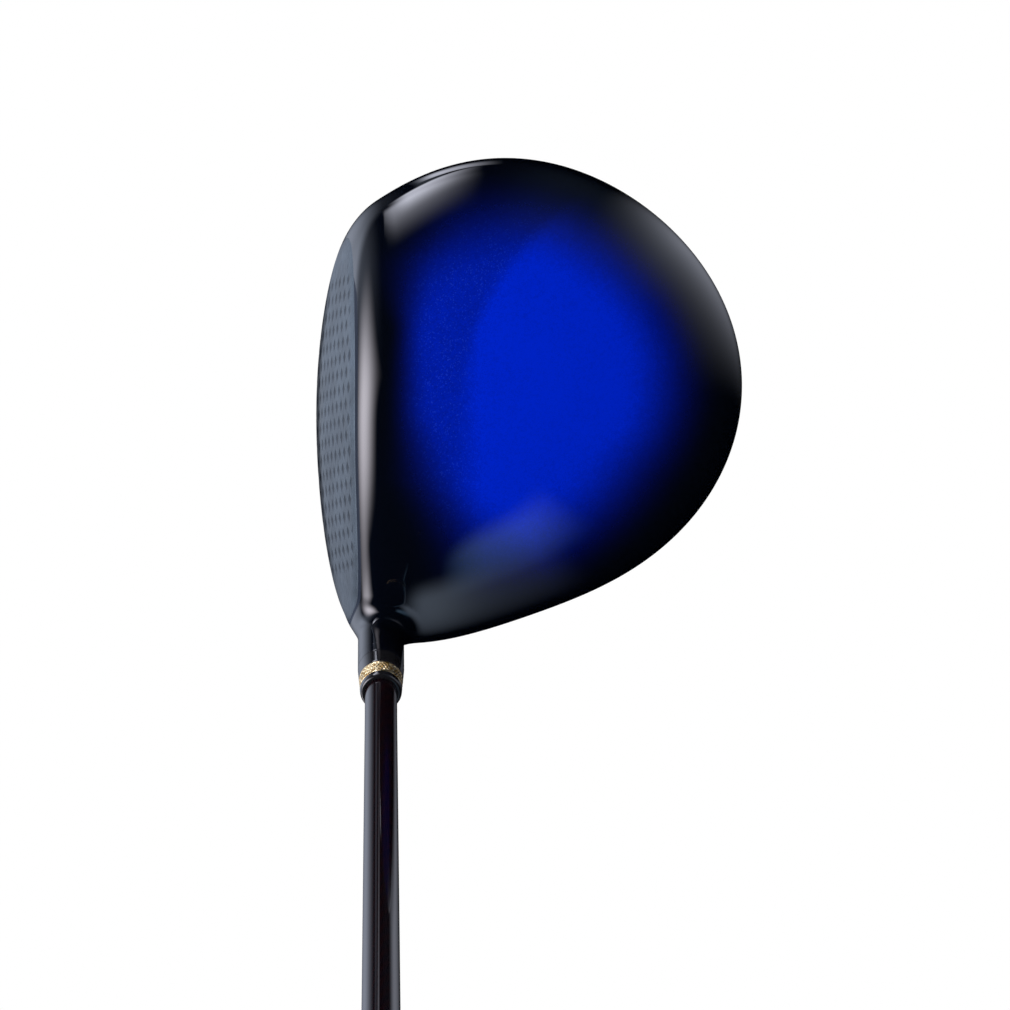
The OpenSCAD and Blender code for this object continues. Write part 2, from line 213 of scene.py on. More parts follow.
def make(name, verts, faces, material, body="club", replaces=(), normals=None, sharp=None):
    """A mesh object from points in millimetres, riding on a CAD body."""
    mesh = bpy.data.meshes.new(name)
    mesh.from_pydata((np.asarray(verts) * MM).tolist(), [], np.asarray(faces).tolist())
    mesh.validate()
    mesh.shade_smooth()
    obj = bpy.data.objects.new(name, mesh)
    bpy.context.collection.objects.link(obj)
    if normals is not None:
        mesh.normals_split_custom_set_from_vertices(normals.tolist())
    elif sharp:
        mesh.set_sharp_from_angle(angle=math.radians(sharp))
    mesh.materials.append(material)
    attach(obj, body)
    if replaces:
        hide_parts(*replaces)
    return obj


def along(s, x=0.0, y=0.0):
    """Points at s along the shaft axis and x, y across it."""
    s, x, y = np.broadcast_arrays(s, x, y)
    return axis_foot + s[..., None] * shaft_dir + x[..., None] * X_AXIS + y[..., None] * shaft_side


def turned(profile, n=160, place=along, bump=None, bump_from=0):
    """A closed outline of [along, radius] points turned round an axis.
    bump(s, a) is added to the radius wherever that is over bump_from."""
    profile = np.asarray(profile, float)
    a = 2 * math.pi * np.arange(n) / n
    s, r = profile[:, :1], profile[:, 1:2]
    if bump is not None:
        r = r + np.where(r > bump_from, bump(s, a[None, :]), 0)
    verts = place(s + 0 * a, r * np.cos(a), r * np.sin(a)).reshape(-1, 3)
    return verts, grid_faces(len(profile), n, loop=True)


def spread(points, step, fine_from=0):
    """The same outline with extra points, so that outside the radius fine_from none is further than
    step from the next."""
    out = []
    for (s0, r0), (s1, r1) in zip(points, points[1:]):
        fine = min(r0, r1) > fine_from
        k = max(1, int(math.ceil(math.hypot(s1 - s0, r1 - r0) / step))) if fine else 1
        out += [[s0 + (s1 - s0) * i / k, r0 + (r1 - r0) * i / k] for i in range(k)]
    return out + [list(points[-1])]


def bevelled(corners, size=0.1, turns=3):
    """The outline with each inner corner replaced by a small round."""
    out = [list(corners[0])]
    for a, b, c in zip(corners, corners[1:], corners[2:]):
        a, b, c = np.array(a, float), np.array(b, float), np.array(c, float)
        la, lc = np.linalg.norm(a - b), np.linalg.norm(c - b)
        k = min(size, la / 2.5, lc / 2.5)
        p, q = b + (a - b) / max(la, 1e-9) * k, b + (c - b) / max(lc, 1e-9) * k
        for i in range(turns + 1):
            t = i / turns
            out.append(list((1 - t) ** 2 * p + 2 * t * (1 - t) * b + t * t * q))
    return out + [list(corners[-1])]


def fold(verts, faces, depth, direction=None):
    """Adds a strip that turns the mesh's open edges inwards, so the piece shows its thickness."""
    edges = np.sort(faces[:, [0, 1, 1, 2, 2, 0]].reshape(-1, 2), axis=1)
    directed = faces[:, [0, 1, 1, 2, 2, 0]].reshape(-1, 2)
    _, first, count = np.unique(edges, axis=0, return_index=True, return_counts=True)
    rim = directed[first[count == 1]]
    used, index = np.unique(rim, return_inverse=True)
    index = index.reshape(-1, 2)
    top = verts[used]
    back = -outward(top) if direction is None else np.broadcast_to(direction, top.shape)
    n, k = len(verts), len(used)
    a, b = index[:, 0] + n, index[:, 1] + n
    strip = np.vstack([np.stack([b, a, a + k], -1), np.stack([b, a + k, b + k], -1)])
    return np.vstack([verts, top, top + depth * back]), np.vstack([faces, strip])


def quarter_round(s, r, up, inward):
    """Outline points of a quarter of an ellipse from [s, r] to [s + up, r - inward]."""
    return [[s + up * math.sin(t), r - inward * (1 - math.cos(t))]
            for t in np.linspace(0, math.pi / 2, 9)]


def smooth_step(low, high, x):
    """0 below low, 1 above high and a smooth rise between; it falls where low is the larger."""
    t = np.clip((x - low) / (high - low), 0, 1)
    return t * t * (3 - 2 * t)


def off_whole(x):
    """Distance to the nearest whole number."""
    return np.abs((x + 0.5) % 1 - 0.5)


def off_grooves(s, a, turns, pitch):
    """Distance to the nearest of two crossed sets of spiral grooves, in parts of their spacing."""
    u = a * turns / (2 * math.pi) + s / pitch / 2
    v = a * turns / (2 * math.pi) - s / pitch / 2
    return np.minimum(off_whole(u), off_whole(v))


# ---- materials ------------------------------------------------------------------------------
class Paint:
    """A Principled material built from nodes; textures are measured in millimetres."""

    def __init__(self, name, **inputs):
        self.material = bpy.data.materials.new(name)
        self.material.use_nodes = True
        self.tree = self.material.node_tree
        self.shader = self.tree.nodes["Principled BSDF"]
        place = self.tree.nodes.new("ShaderNodeTexCoord").outputs["Object"]
        self.mm = self.add("VectorMath", "Vector", operation="SCALE", Vector=place, Scale=1 / MM)
        self.feed(self.shader, **inputs)

    def feed(self, node, **inputs):
        for name, value in inputs.items():
            socket = node.inputs[int(name[1:])] if name[0] == "_" else node.inputs[name.replace("_", " ")]
            if isinstance(value, bpy.types.NodeSocket):
                self.tree.links.new(value, socket)
            elif socket.type == "RGBA" and len(value) == 3:
                socket.default_value = (*value, 1)
            else:
                socket.default_value = value

    def add(self, kind, output=0, **values):
        node = self.tree.nodes.new("ShaderNode" + kind)
        inputs = {}
        for name, value in values.items():
            if name[0].islower():
                setattr(node, name, value)
            else:
                inputs[name] = value
        self.feed(node, **inputs)
        return node.outputs[output]

    def math(self, operation, *values):
        node = self.tree.nodes.new("ShaderNodeMath")
        node.operation = operation
        self.feed(node, **{f"_{i}": v for i, v in enumerate(values)})
        return node.outputs[0]

    def noise(self, scale, detail=2.0, vector=None):
        return self.add("TexNoise", "Fac", Vector=vector or self.mm, Scale=scale, Detail=detail)

    def cells(self, scale, output="Color"):
        return self.add("TexVoronoi", output, Vector=self.mm, Scale=scale)

    def stretch(self, x, y, z):
        return self.add("VectorMath", "Vector", operation="MULTIPLY", _0=self.mm, _1=(x, y, z))

    def span(self, value, a, b, c=0.0, d=1.0, smooth=True):
        """value mapped from a..b to c..d and held at the ends."""
        return self.add("MapRange", "Result", interpolation_type="SMOOTHSTEP" if smooth else "LINEAR",
                        Value=value, From_Min=a, From_Max=b, To_Min=c, To_Max=d)

    def mix(self, fac, a, b):
        node = self.tree.nodes.new("ShaderNodeMix")
        node.data_type = "RGBA"
        self.feed(node, _0=fac, _6=a, _7=b)
        return node.outputs[2]

    def grey(self, value):
        return self.add("CombineColor", 0, Red=value, Green=value, Blue=value)

    def field(self, name):
        return self.add("Attribute", "Fac", attribute_name=name)

    def bump(self, height, distance_mm, onto="Normal"):
        normal = self.add("Bump", Height=height, Distance=distance_mm * MM, Strength=1.0)
        self.feed(self.shader, **{onto: normal})


BLACK = (0.0008, 0.0014, 0.0032)
# NAVY, LIP_COAT and LIP_ENDS make the line round the face plate: a thinner coat, and navy painted in as
# the edge's dark reflection.
NAVY = (0.022, 0.028, 0.042)
LIP_COAT = 0.12
LIP_ENDS = (1.15, 0.75)    # the dull line fades out this far from the face plate's outline, in mm


def lacquer(name, colour):
    """Glossy paint under a clear coat that has a little orange peel in it."""
    m = Paint(name, Roughness=0.4, Coat_Weight=1.0, Coat_Roughness=0.02, Coat_IOR=1.5)
    m.feed(m.shader, Specular_IOR_Level=0.0, Base_Color=colour)
    m.bump(m.noise(0.25, 1.0), 0.004, onto="Coat_Normal")
    return m


def lip(m):
    """From 0 to 1 in the narrow line round the face plate, which has a thinner coat and is painted navy
    as the edge's dark reflection, 0 elsewhere.
    """
    return m.span(m.field("lip"), *LIP_ENDS)


def crown_paint():
    """Blue that fades to black at the rim and is painted darker in a part of painted shade, where fine
    flakes are painted in as bright glints.
    """
    m = lacquer("crown_lacquer", BLACK)
    # The second field is where the crown is painted darker as shade.
    blue, painted_shade = m.field("blue"), m.field("painted_shade")
    flake = m.add("SeparateColor", 0, Color=m.cells(3.4))
    # Flakes are painted in as bright glints, only in the painted shade.
    flake_glint = m.math("MULTIPLY", m.math("GREATER_THAN", flake, 0.93), m.math("MULTIPLY", painted_shade, 0.07))
    strength = m.math("MULTIPLY", m.math("POWER", blue, 2.2), m.span(flake, 0.0, 1.0, 0.85, 1.15, False))
    for slow in (m.noise(0.05, 3.0), m.noise(0.6, 2.0)):
        strength = m.math("MULTIPLY", strength, m.span(slow, 0.25, 0.75, 0.95, 1.05))
    colour = m.mix(strength, BLACK, (0.0, 0.0145, 0.475))
    colour = m.mix(m.math("MULTIPLY", flake_glint, strength), colour, (0.08, 0.2, 0.9))
    # The line round the face plate is painted navy, as the dark reflection along the edge.
    colour = m.mix(lip(m), colour, NAVY)
    # In reflections on other pieces the crown is painted nearly black: a painted dimming of its
    # reflection.
    reflection_dimming = m.math("MULTIPLY", m.add("LightPath", "Is Glossy Ray"), 0.85)
    m.feed(m.shader, Base_Color=m.mix(reflection_dimming, colour, (0.002, 0.001, 0.001)),
           Coat_Weight=m.span(lip(m), 0.0, 1.0, 1.0, LIP_COAT, False))
    return m.material


def black_paint(name, with_lip=False):
    """Black with sparse fine sparks and, on the sole, the line round the face plate, duller and painted
    navy as a dark reflection.
    """
    m = lacquer(name, BLACK)
    flake = m.add("SeparateColor", 0, Color=m.cells(3.2))
    spark = m.math("MULTIPLY", m.math("POWER", flake, 40.0), 0.5)
    colour = m.mix(spark, BLACK, (0.05, 0.06, 0.1))
    if with_lip:
        # The line round the face plate is painted navy, as the dark reflection along the edge.
        colour = m.mix(lip(m), colour, NAVY)
        m.feed(m.shader, Coat_Weight=m.span(lip(m), 0.0, 1.0, 1.0, LIP_COAT, False))
    m.feed(m.shader, Base_Color=colour)
    return m.material


def metal(name, colour, rough, grain=8.0, grain_depth=0.004, stretched=(1, 1, 1)):
    """Machined or blasted metal with a fine grain, clouding and small changes of gloss."""
    worn = 0.12
    m = Paint(name, Metallic=1.0, Base_Color=colour)
    fine = m.noise(grain, 3.0, m.stretch(*stretched))
    cloud = m.noise(0.12, 3.0)
    dark = tuple(c * (1 - worn) for c in colour)
    m.feed(m.shader, Base_Color=m.mix(m.span(cloud, 0.35, 0.65), dark, colour),
           Roughness=m.span(fine, 0.3, 0.7, rough * 0.85, rough * 1.15))
    m.bump(fine, grain_depth)
    return m.material


def face_metal():
    """Blasted titanium, darker in the etched cells, with painted shade and a painted dimmer reflection
    along the foot of the face.
    """
    m = Paint("face_titanium", Metallic=1.0)
    pit, foot = m.field("pit"), m.field("foot")
    fine, cloud = m.noise(5.0, 4.0), m.noise(0.09, 2.0)
    brush = m.noise(3.0, 2.0, m.stretch(1, 0.06, 1))
    base = m.mix(pit, (0.063, 0.081, 0.096), (0.025, 0.033, 0.041))
    # The foot of the face is painted darker: painted shade.
    base = m.mix(m.math("MULTIPLY", foot, 0.85), base, (0.016, 0.019, 0.024))
    for grain, depth in ((fine, 0.28), (cloud, 0.16)):
        light = m.span(grain, 0.3, 0.7, 1 - depth, 1 + depth)
        base = m.add("Mix", 2, data_type="RGBA", blend_type="MULTIPLY", _0=1.0, _6=base, _7=m.grey(light))
    in_pit = m.span(pit, 0.0, 1.0, 1.0, 0.84, False)
    # The reflection is dimmed at the foot as well: painted shade.
    foot_shade_tint = m.span(foot, 0.0, 1.0, 1.0, 0.45, False)
    m.feed(m.shader, Base_Color=base, Roughness=m.span(brush, 0.3, 0.7, 0.36, 0.48),
           Specular_Tint=m.grey(m.math("MULTIPLY", in_pit, foot_shade_tint)))
    m.bump(fine, 0.006)
    return m.material


def shaft_paint():
    """Dark red-brown lacquer over a faint slanting wrap."""
    m = lacquer("shaft_lacquer", (0.004, 0.002, 0.004))
    wind = m.add("TexWave", "Fac", Vector=m.mm, Scale=0.25, Distortion=0.6, bands_direction="DIAGONAL")
    colour = m.mix(wind, (0.0055, 0.0018, 0.0024), (0.0035, 0.0020, 0.0034))
    m.feed(m.shader, Base_Color=colour)
    return m.material


def plastic(name, colour, rough):
    """Moulded plastic, slightly uneven in its gloss."""
    m = Paint(name, Base_Color=colour, IOR=1.5)
    fine = m.noise(2.5, 3.0)
    m.feed(m.shader, Roughness=m.span(fine, 0.3, 0.7, rough * 0.7, rough * 1.3))
    m.bump(fine, 0.002)
    return m.material


def rubber(name, colour):
    """Matt rubber with a fine grain, lighter and smoother where it is worn."""
    m = Paint(name, IOR=1.45)
    fine, wear = m.noise(5.0, 4.0), m.noise(0.05, 3.0)
    light = tuple(2.2 * c for c in colour)
    m.feed(m.shader, Base_Color=m.mix(m.span(wear, 0.4, 0.75), colour, light),
           Roughness=m.span(wear, 0.35, 0.7, 0.78, 0.55))
    m.bump(fine, 0.03)
    return m.material


def soft(name, dark, light, scale, rough, depth=0.05):
    """Cork, paper tape, resin and other plain stuff inside the club."""
    m = Paint(name)
    spots = m.cells(scale, "Distance")
    m.feed(m.shader, Base_Color=m.mix(m.span(spots, 0.1, 0.6), dark, light), Roughness=rough)
    m.bump(m.noise(scale * 2, 3.0), depth)
    return m.material


# ---- head -----------------------------------------------------------------------------------
CENTRE = np.array([0.0, 0.0, rim_height])
FLARE_AT = axis_foot + flare_middle * shaft_dir
flare_cut, flare_overlap = 26.0, 0.02
seam_drop, seam_gap = 2.5, 0.05
port_clear, badge_clear, shell_wall = 0.02, 0.02, 1.2
FAR = 10.0      # stands for any distance well clear of an edge


def directions(rows, cols):
    """Rays from the middle of the head to about its skin, in rings from the front to the rear pole."""
    turn = np.radians(np.interp(np.arange(1, rows + 1) / rows, *ring_turn))[:, None]
    around = (2 * math.pi * np.arange(cols) / cols)[None, :]
    reach = np.where(turn < math.pi / 2, nose_reach, rear_reach)
    rays = np.stack([-np.cos(turn) * reach + 0 * around, np.sin(turn) * np.cos(around) * toe_reach,
                     np.sin(turn) * np.sin(around) * (crown_height - rim_height)], -1)
    return rays.reshape(-1, 3)


def head_mesh(rows, cols):
    """The whole skin: rays from the middle of the head, and from the axis for the neck's fillet."""
    beyond, landed = 1.3, 0.05
    verts = on_surface(CENTRE, CENTRE + beyond * directions(rows, cols), head)
    faces = grid_faces(rows, cols)
    pole = (rows - 1) * cols
    faces = np.minimum(faces, pole)
    a, b, c = faces.T
    faces = faces[(a != b) & (b != c) & (c != a)]
    shell = clip(verts, faces,
                 lambda p: np.linalg.norm(p - FLARE_AT, axis=-1) - flare_cut + flare_overlap)
    rings, spokes = rows * 3 // 4, cols // 2
    t = (math.pi * np.arange(1, rings) / rings)[:, None]
    a = (2 * math.pi * np.arange(spokes) / spokes)[None, :]
    to = along(flare_middle + flare_reach * np.cos(t) + 0 * a,
               flare_reach * np.sin(t) * np.cos(a), flare_reach * np.sin(t) * np.sin(a)).reshape(-1, 3)
    cone = on_surface(FLARE_AT, to, skin)
    near = clip(cone, grid_faces(rings - 1, spokes)[:, ::-1],
                lambda p: flare_cut + flare_overlap - np.linalg.norm(p - FLARE_AT, axis=-1))
    near = clip(*near, lambda p: flare_top - (p - axis_foot) @ shaft_dir)
    near = clip(*near, lambda p: landed - skin(p))
    return join([shell, near])


def above_seam(p):
    """Height over the seam between crown and sole, which falls to the rear with the rim."""
    return p[..., 2] - (rim_height - seam_drop) + p[..., 0] * (rim_fall / rear_reach)


def off_plate(p):
    """Distance outside the outline of the face plate, and less than 0 inside it."""
    on_face = np.stack([face_x(p[..., 1], p[..., 2]), p[..., 1], p[..., 2]], -1)
    return pebble(on_face) + lip_width


def round_face(p):
    """off_plate for points anywhere on the head, and a large distance away from the front."""
    front_deep = 8
    front = p[..., 0] < face_x(p[..., 1], p[..., 2]) + front_deep
    return np.where(front, off_plate(p), FAR)


record = frame["record"]
joint_at = {j["name"]: j for j in record["behaviour"]["joints"]}
port_at = np.array(joint_at["weight_turn"]["pos_m"]) / MM
port_axis = np.array(joint_at["weight_turn"]["axis"])
port_out = port_axis / np.linalg.norm(port_axis)
port_x = np.cross(Y_AXIS, port_out)
port_r = 13.0
badge_r = (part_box("sole_badge")[1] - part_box("sole_badge")[0]).x / 2 / MM


def at_port(s, x=0.0, y=0.0):
    """Points at s along the port's axis, which points out of the sole, and x, y across it."""
    s, x, y = np.broadcast_arrays(s, x, y)
    return port_at + s[..., None] * port_out + x[..., None] * port_x + y[..., None] * Y_AXIS


def off_port(p):
    """Distance outside the weight port's hole in the sole."""
    d = p - port_at
    off = np.linalg.norm(d - (d @ port_out)[..., None] * port_out, axis=-1) - port_r - port_clear
    return np.where(p[..., 2] < rim_height / 2, off, FAR)


def off_badge(p):
    """Distance outside the badge's hole in the sole."""
    off = np.hypot(p[..., 0], p[..., 1]) - badge_r - badge_clear
    return np.where(p[..., 2] < rim_height / 2, off, FAR)


def lip_field(p):
    """Distance from the face plate's outline, raised near the toe where the duller line, painted dark as
    a reflection, fades out.
    """
    fades_from, fades_to, raised = 28, 42, 2
    return round_face(p) + raised * smooth_step(fades_from, fades_to, p[..., 1])


def blue_fields(p):
    """How blue the crown's fade is at points p, and how far in painted shade, from 0 to 1. Inwards from
    the rim the paint turns from black to solid blue, and rearwards it turns blue between front and full.
    Ahead of a line that curves back towards the toe the blue is painted a fifth darker as shade."""
    x, y = p[..., 0], p[..., 1]
    around = np.arctan2(y, x)
    inside = rim_radius(around) - np.hypot(x, y)
    corners = np.radians([-110, -60, -20, 20, 60, 110])
    black = np.interp(around, corners, [-2.8, -3.4, 1.9, 1.7, -1.2, -1.9])
    solid = np.interp(around, corners, [55, 28.8, 36.6, 34.5, 34.7, 43.7])
    front = np.interp(y, [-40, -21, -5, 20, 38], [-15.9, -22.6, -20.4, -18.7, -28.4])
    full = np.interp(y, [-40, -32, -21, -12, -4, 20, 28, 38, 46],
                     [11, 9.8, 5, 0.2, -4.4, -6.4, -4.4, -2, 5.3])
    line = 4.3 + 0.0112 * np.maximum(y - 5, 0) ** 2
    line_soft = np.interp(y, [-40, -10, 20, 45], [9, 5, 2.2, 3])
    # painted shade: 1 ahead of the line, where the blue is painted darker as shade
    painted_shade = 1 - smooth_step(-1, 1, (x - line) / line_soft)
    from_rim = smooth_step(0, 1, (inside - black) / (solid - black))
    from_front = smooth_step(0, 1, (x - front) / (full - front))
    rearward = 0.975 + 0.025 * smooth_step(5, 30, x)
    # the blue is a fifth darker in the painted shade
    return from_rim * from_front * (1 - 0.2 * painted_shade) * rearward, painted_shade


def shell_piece(name, mesh, side, material, node):
    """The part of the skin above (side 1) or below (side -1) the seam, without the face plate."""
    verts, faces = clip(*mesh, lambda p: side * above_seam(p) - seam_gap)
    verts, faces = clip(verts, faces, round_face)
    if side < 0:
        verts, faces = clip(verts, faces, off_port)
        verts, faces = clip(verts, faces, off_badge)
        verts[:, 2] = np.maximum(verts[:, 2], 0)
    count = len(verts)
    verts, faces = fold(verts, faces, shell_wall)
    normals = outward(verts)
    flat = (verts[:, 2] < 1e-6) & (np.arange(len(verts)) < count)
    normals[flat] = [0, 0, -1]
    obj = make(name, verts, faces, material, replaces=[node])
    mesh_normals(obj, normals, count)
    return obj, verts


def mesh_normals(obj, normals, count):
    """Analytic normals on the skin, and the faces' own on the folded edge."""
    mesh = obj.data
    own = np.zeros(len(mesh.vertices) * 3)
    mesh.vertices.foreach_get("normal", own)
    own = own.reshape(-1, 3)
    own[:count] = normals[:count]
    mesh.normals_split_custom_set_from_vertices(own.tolist())


def add_field(obj, name, values):
    """Gives the points of a piece a value that its material can read."""
    layer = obj.data.attributes.new(name, "FLOAT", "POINT")
    layer.data.foreach_set("value", np.asarray(values, np.float32))


rows, cols = ((210, 340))
head_skin = head_mesh(rows, cols)
crown, crown_verts = shell_piece("crown", head_skin, 1, crown_paint(), "crown_shell")
# the blue fade with the painted shade in it, and where that painted shade lies
blue, painted_shade = blue_fields(crown_verts)
add_field(crown, "blue", blue)
add_field(crown, "painted_shade", painted_shade)
add_field(crown, "lip", lip_field(crown_verts))
sole, sole_verts = shell_piece("sole", head_skin, -1, black_paint("sole_lacquer", True),
                               "sole_shell")
add_field(sole, "lip", lip_field(sole_verts))


# ---- face: staggered rows of small etched cells ---------------------------------------------
def cells_on_face(y, z):
    """Depth from 0 to 1 of the etched cells, small diamonds in staggered rows."""
    across, up = 8.6, 4.9
    half_wide, half_high, flat = 2.2, 1.6, 0.55
    a, b = y / across, (z - face_z) / math.cos(loft) / up
    near = []
    for shift in (0.0, 0.5):
        near.append(off_whole(a + shift) * across / half_wide + off_whole(b + shift) * up / half_high)
    return smooth_step(1.0, flat, np.minimum(*near))


def face_mesh(step):
    """The plate's front on an even grid, with how deep each point is in a cell (pit) and in the band of
    painted shade along its lower edge (foot)."""
    behind, ahead, plate_gap = 9, 5, 0.03
    pit_deep, edge_deep, cells_middle = 0.12, 0.05, -4
    lo, hi = (np.array(c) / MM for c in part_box("face_plate"))
    y = np.arange(lo[1] - 1, hi[1] + 1, step)
    z = np.arange(lo[2] - 1, hi[2] + 1, step)
    grid_z, grid_y = np.meshgrid(z, y, indexing="ij")
    x = face_x(grid_y, grid_z)
    inside = np.stack([x + behind, grid_y, grid_z], -1).reshape(-1, 3)
    outside = np.stack([x - ahead, grid_y, grid_z], -1).reshape(-1, 3)
    verts = on_surface(inside, outside)
    faces = grid_faces(len(z), len(y), wrap=False)[:, ::-1]
    verts, faces = clip(verts, faces, lambda p: -off_plate(p) - plate_gap)
    room = -off_plate(verts) - plate_gap
    pit = cells_on_face(verts[:, 1], verts[:, 2]) * smooth_step(1.0, 3.0, room)
    pit = pit * (1 - smooth_step(38, 44, np.abs(verts[:, 1] - cells_middle)))
    edge = smooth_step(0.5, 0.0, room)
    # foot: how deep each point is in the painted shade along the plate's lower edge
    foot = smooth_step(12.0, 6.5, room) * smooth_step(face_z - 4, face_z - 16, verts[:, 2])
    verts = verts - outward(verts) * (pit_deep * pit + edge_deep * edge)[:, None]
    return verts, faces, pit, foot


verts, faces, pit, foot = face_mesh(0.25)
count = len(verts)
verts, faces = fold(verts, faces, face_edge, direction=X_AXIS)
plate = make("face", verts, faces, face_metal(), replaces=["face_plate"], sharp=40)
# pit is the etched cells; foot is the painted shade along the lower edge
for name, values in (("pit", pit), ("foot", foot)):
    add_field(plate, name, np.concatenate([values, np.zeros(len(verts) - count)]))


# ---- neck and ferrule -----------------------------------------------------------------------
def lathe(name, outline, material, node, step=0.5, n=160, place=along, bump=None, bump_from=0,
          body="club", round_off=0.12, sharp=35):
    """A turned piece from the [along, radius] corners of its section, listed once round."""
    loop = bevelled([*outline, outline[0], outline[1]], round_off)[1:-1]
    loop = spread([*loop, loop[0]], step, bump_from)[:-1]
    verts, faces = turned(loop, n, place, bump, bump_from)
    return make(name, verts, faces, material, body, [node], sharp=sharp)


collar_foot, ring_foot, end_foot, shoulder_foot, ferrule_top = neck_top, 73.4, 78.7, 79.7, 81.1
bore_r, ferrule_in, shoulder_end_r, tip_r, glue = 4.45, 4.32, 5.6, 4.3, 0.02


def ferrule_r(s):
    """Outer radius of the ferrule, which narrows evenly up from the neck."""
    return neck_r - (neck_r - shoulder_end_r) / (shoulder_foot - neck_top) * (s - neck_top)


def fillet(s, a):
    """How far the crown's fillet stands out from the neck's radius, at s and angle a round the axis."""
    within, beyond = 3, 14
    s, a = np.broadcast_arrays(s, a)
    inner = along(s, within * np.cos(a), within * np.sin(a))
    outer = along(s, beyond * np.cos(a), beyond * np.sin(a))
    d = on_surface(inner, outer) - axis_foot
    return np.linalg.norm(d - (d @ shaft_dir)[..., None] * shaft_dir, axis=-1) - neck_r


neck_foot = flare_top + glue
lathe("neck", [[neck_foot, bore_r], [neck_foot, neck_r], [neck_top, neck_r], [neck_top, bore_r]],
      black_paint("neck_lacquer"), "neck_pipe", round_off=0.03, bump=fillet,
      bump_from=neck_r - 0.01)
black = plastic("ferrule_black", (0.006, 0.006, 0.007), 0.06)
lathe("collar", [[collar_foot + glue, ferrule_in], [collar_foot + glue, ferrule_r(collar_foot)],
                 [ring_foot - glue, ferrule_r(ring_foot)], [ring_foot - glue, ferrule_in]],
      black, "ferrule_collar", round_off=0.2)


def knurl(s, a):
    """Small crossed grooves round the trim ring, plain at both ends."""
    teeth, pitch, deep, wide = 36, 1.0, 0.14, 0.17
    from_foot = smooth_step(ring_foot + 0.5, ring_foot + 1.0, s)
    from_top = smooth_step(end_foot - 0.5, end_foot - 1.0, s)
    return -deep * from_foot * from_top * np.exp(-((off_grooves(s, a, teeth, pitch) / wide) ** 2))


def gold():
    """Bright and dark gold in small patches, like hammered foil."""
    m = Paint("ring_gold", Metallic=1.0)
    patch = m.add("SeparateColor", 0, Color=m.cells(1.5))
    tone = m.span(patch, 0.15, 0.85, smooth=False)
    m.feed(m.shader, Base_Color=m.mix(tone, (0.42, 0.25, 0.07), (1.0, 0.83, 0.50)),
           Roughness=m.span(patch, 0.0, 1.0, 0.42, 0.24, False))
    m.bump(m.noise(3.0, 2.0), 0.04)
    return m.material


ring_outline = [[ring_foot, ferrule_in], [ring_foot, ferrule_r(ring_foot)],
                [end_foot, ferrule_r(end_foot)], [end_foot, ferrule_in]]
lathe("trim_ring", ring_outline, gold(), "ferrule_ring", step=0.12, n=480, bump=knurl,
      bump_from=5, round_off=0.22)
ferrule_lip = 0.45
round_up, round_in = ferrule_top - shoulder_foot, shoulder_end_r - tip_r - ferrule_lip
shoulder = quarter_round(shoulder_foot, shoulder_end_r, round_up, round_in)
lathe("end_collar", [[end_foot + glue, ferrule_in], [end_foot + glue, ferrule_r(end_foot)], *shoulder,
                     [ferrule_top, ferrule_in]],
      black, "ferrule_end_collar", step=0.25)

# ---- shaft and grip -------------------------------------------------------------------------
shaft_foot, taper_foot, taper_top, shaft_wall = 33.3, 95.3, 1010.0, 1.2
club_length, cap_foot, grip_foot, butt_r = 1156.0, 1150.0, 886.0, 7.6
mouth_r, butt_grip_r, vent_r, tape_thick = 9.3, 12.9, 2.0, 0.44
straight_foot = cap_foot - 40


def shaft_r(s):
    return float(np.interp(s, [taper_foot, taper_top], [tip_r, butt_r]))


stations = [shaft_foot, taper_foot, taper_top, cap_foot - 0.5]
shaft_inside = [[s, shaft_r(s) - shaft_wall] for s in stations[::-1]]
shaft_outside = [[s, shaft_r(s)] for s in stations]
lathe("shaft", shaft_inside + shaft_outside, shaft_paint(), "shaft_tube", step=12, n=128,
      round_off=0.05)


def grip_r(s):
    return float(np.interp(s, [grip_foot, straight_foot], [mouth_r, butt_grip_r]))


def tread(s, a):
    """Moulded grip pattern: crossed grooves between plain bands, and three rings near the mouth."""
    turns, pitch, groove_deep, groove_wide = 14, 4.6, 0.32, 0.13
    bands = smooth_step(grip_foot + 16, grip_foot + 18, s) * smooth_step(cap_foot - 12, cap_foot - 14, s)
    ring_at, ring_pitch, ring_deep = grip_foot + 8, 2.2, 0.18
    turn = (s - ring_at) / ring_pitch
    ring = np.where(np.abs(turn) < 1.4, ring_deep * (0.5 - 0.5 * np.cos(2 * math.pi * turn)), 0)
    return -groove_deep * bands * np.exp(-((off_grooves(s, a, turns, pitch) / groove_wide) ** 2)) - ring


grip_rubber = rubber("grip_rubber", (0.012, 0.012, 0.013))


def sleeve_outline():
    """A raised bead at the mouth, an even taper and a straight stretch up to the cap."""
    bead_r, bead_top, taper_from = mouth_r + 0.3, grip_foot + 4, grip_foot + 5
    inner = [[s, shaft_r(s) + tape_thick] for s in (cap_foot, taper_top, grip_foot)]
    bead = [[grip_foot, mouth_r - 0.6], [grip_foot + 0.8, bead_r], [bead_top, bead_r]]
    body = [[taper_from, grip_r(taper_from)], [straight_foot, butt_grip_r], [cap_foot, butt_grip_r]]
    return inner + bead + body


lathe("grip", sleeve_outline(), grip_rubber, "grip_sleeve", step=0.7, n=210, bump=tread,
      bump_from=8.9, round_off=0.3, sharp=60)
cap_round, cap_bevel = 3, 0.3
lathe("grip_cap", [[club_length, vent_r], [cap_foot + glue, vent_r],
                   [cap_foot + glue, butt_grip_r - cap_bevel], [cap_foot + cap_bevel, butt_grip_r],
                   *quarter_round(club_length - cap_round, butt_grip_r, cap_round, cap_round)],
      grip_rubber, "grip_cap", round_off=0.1)

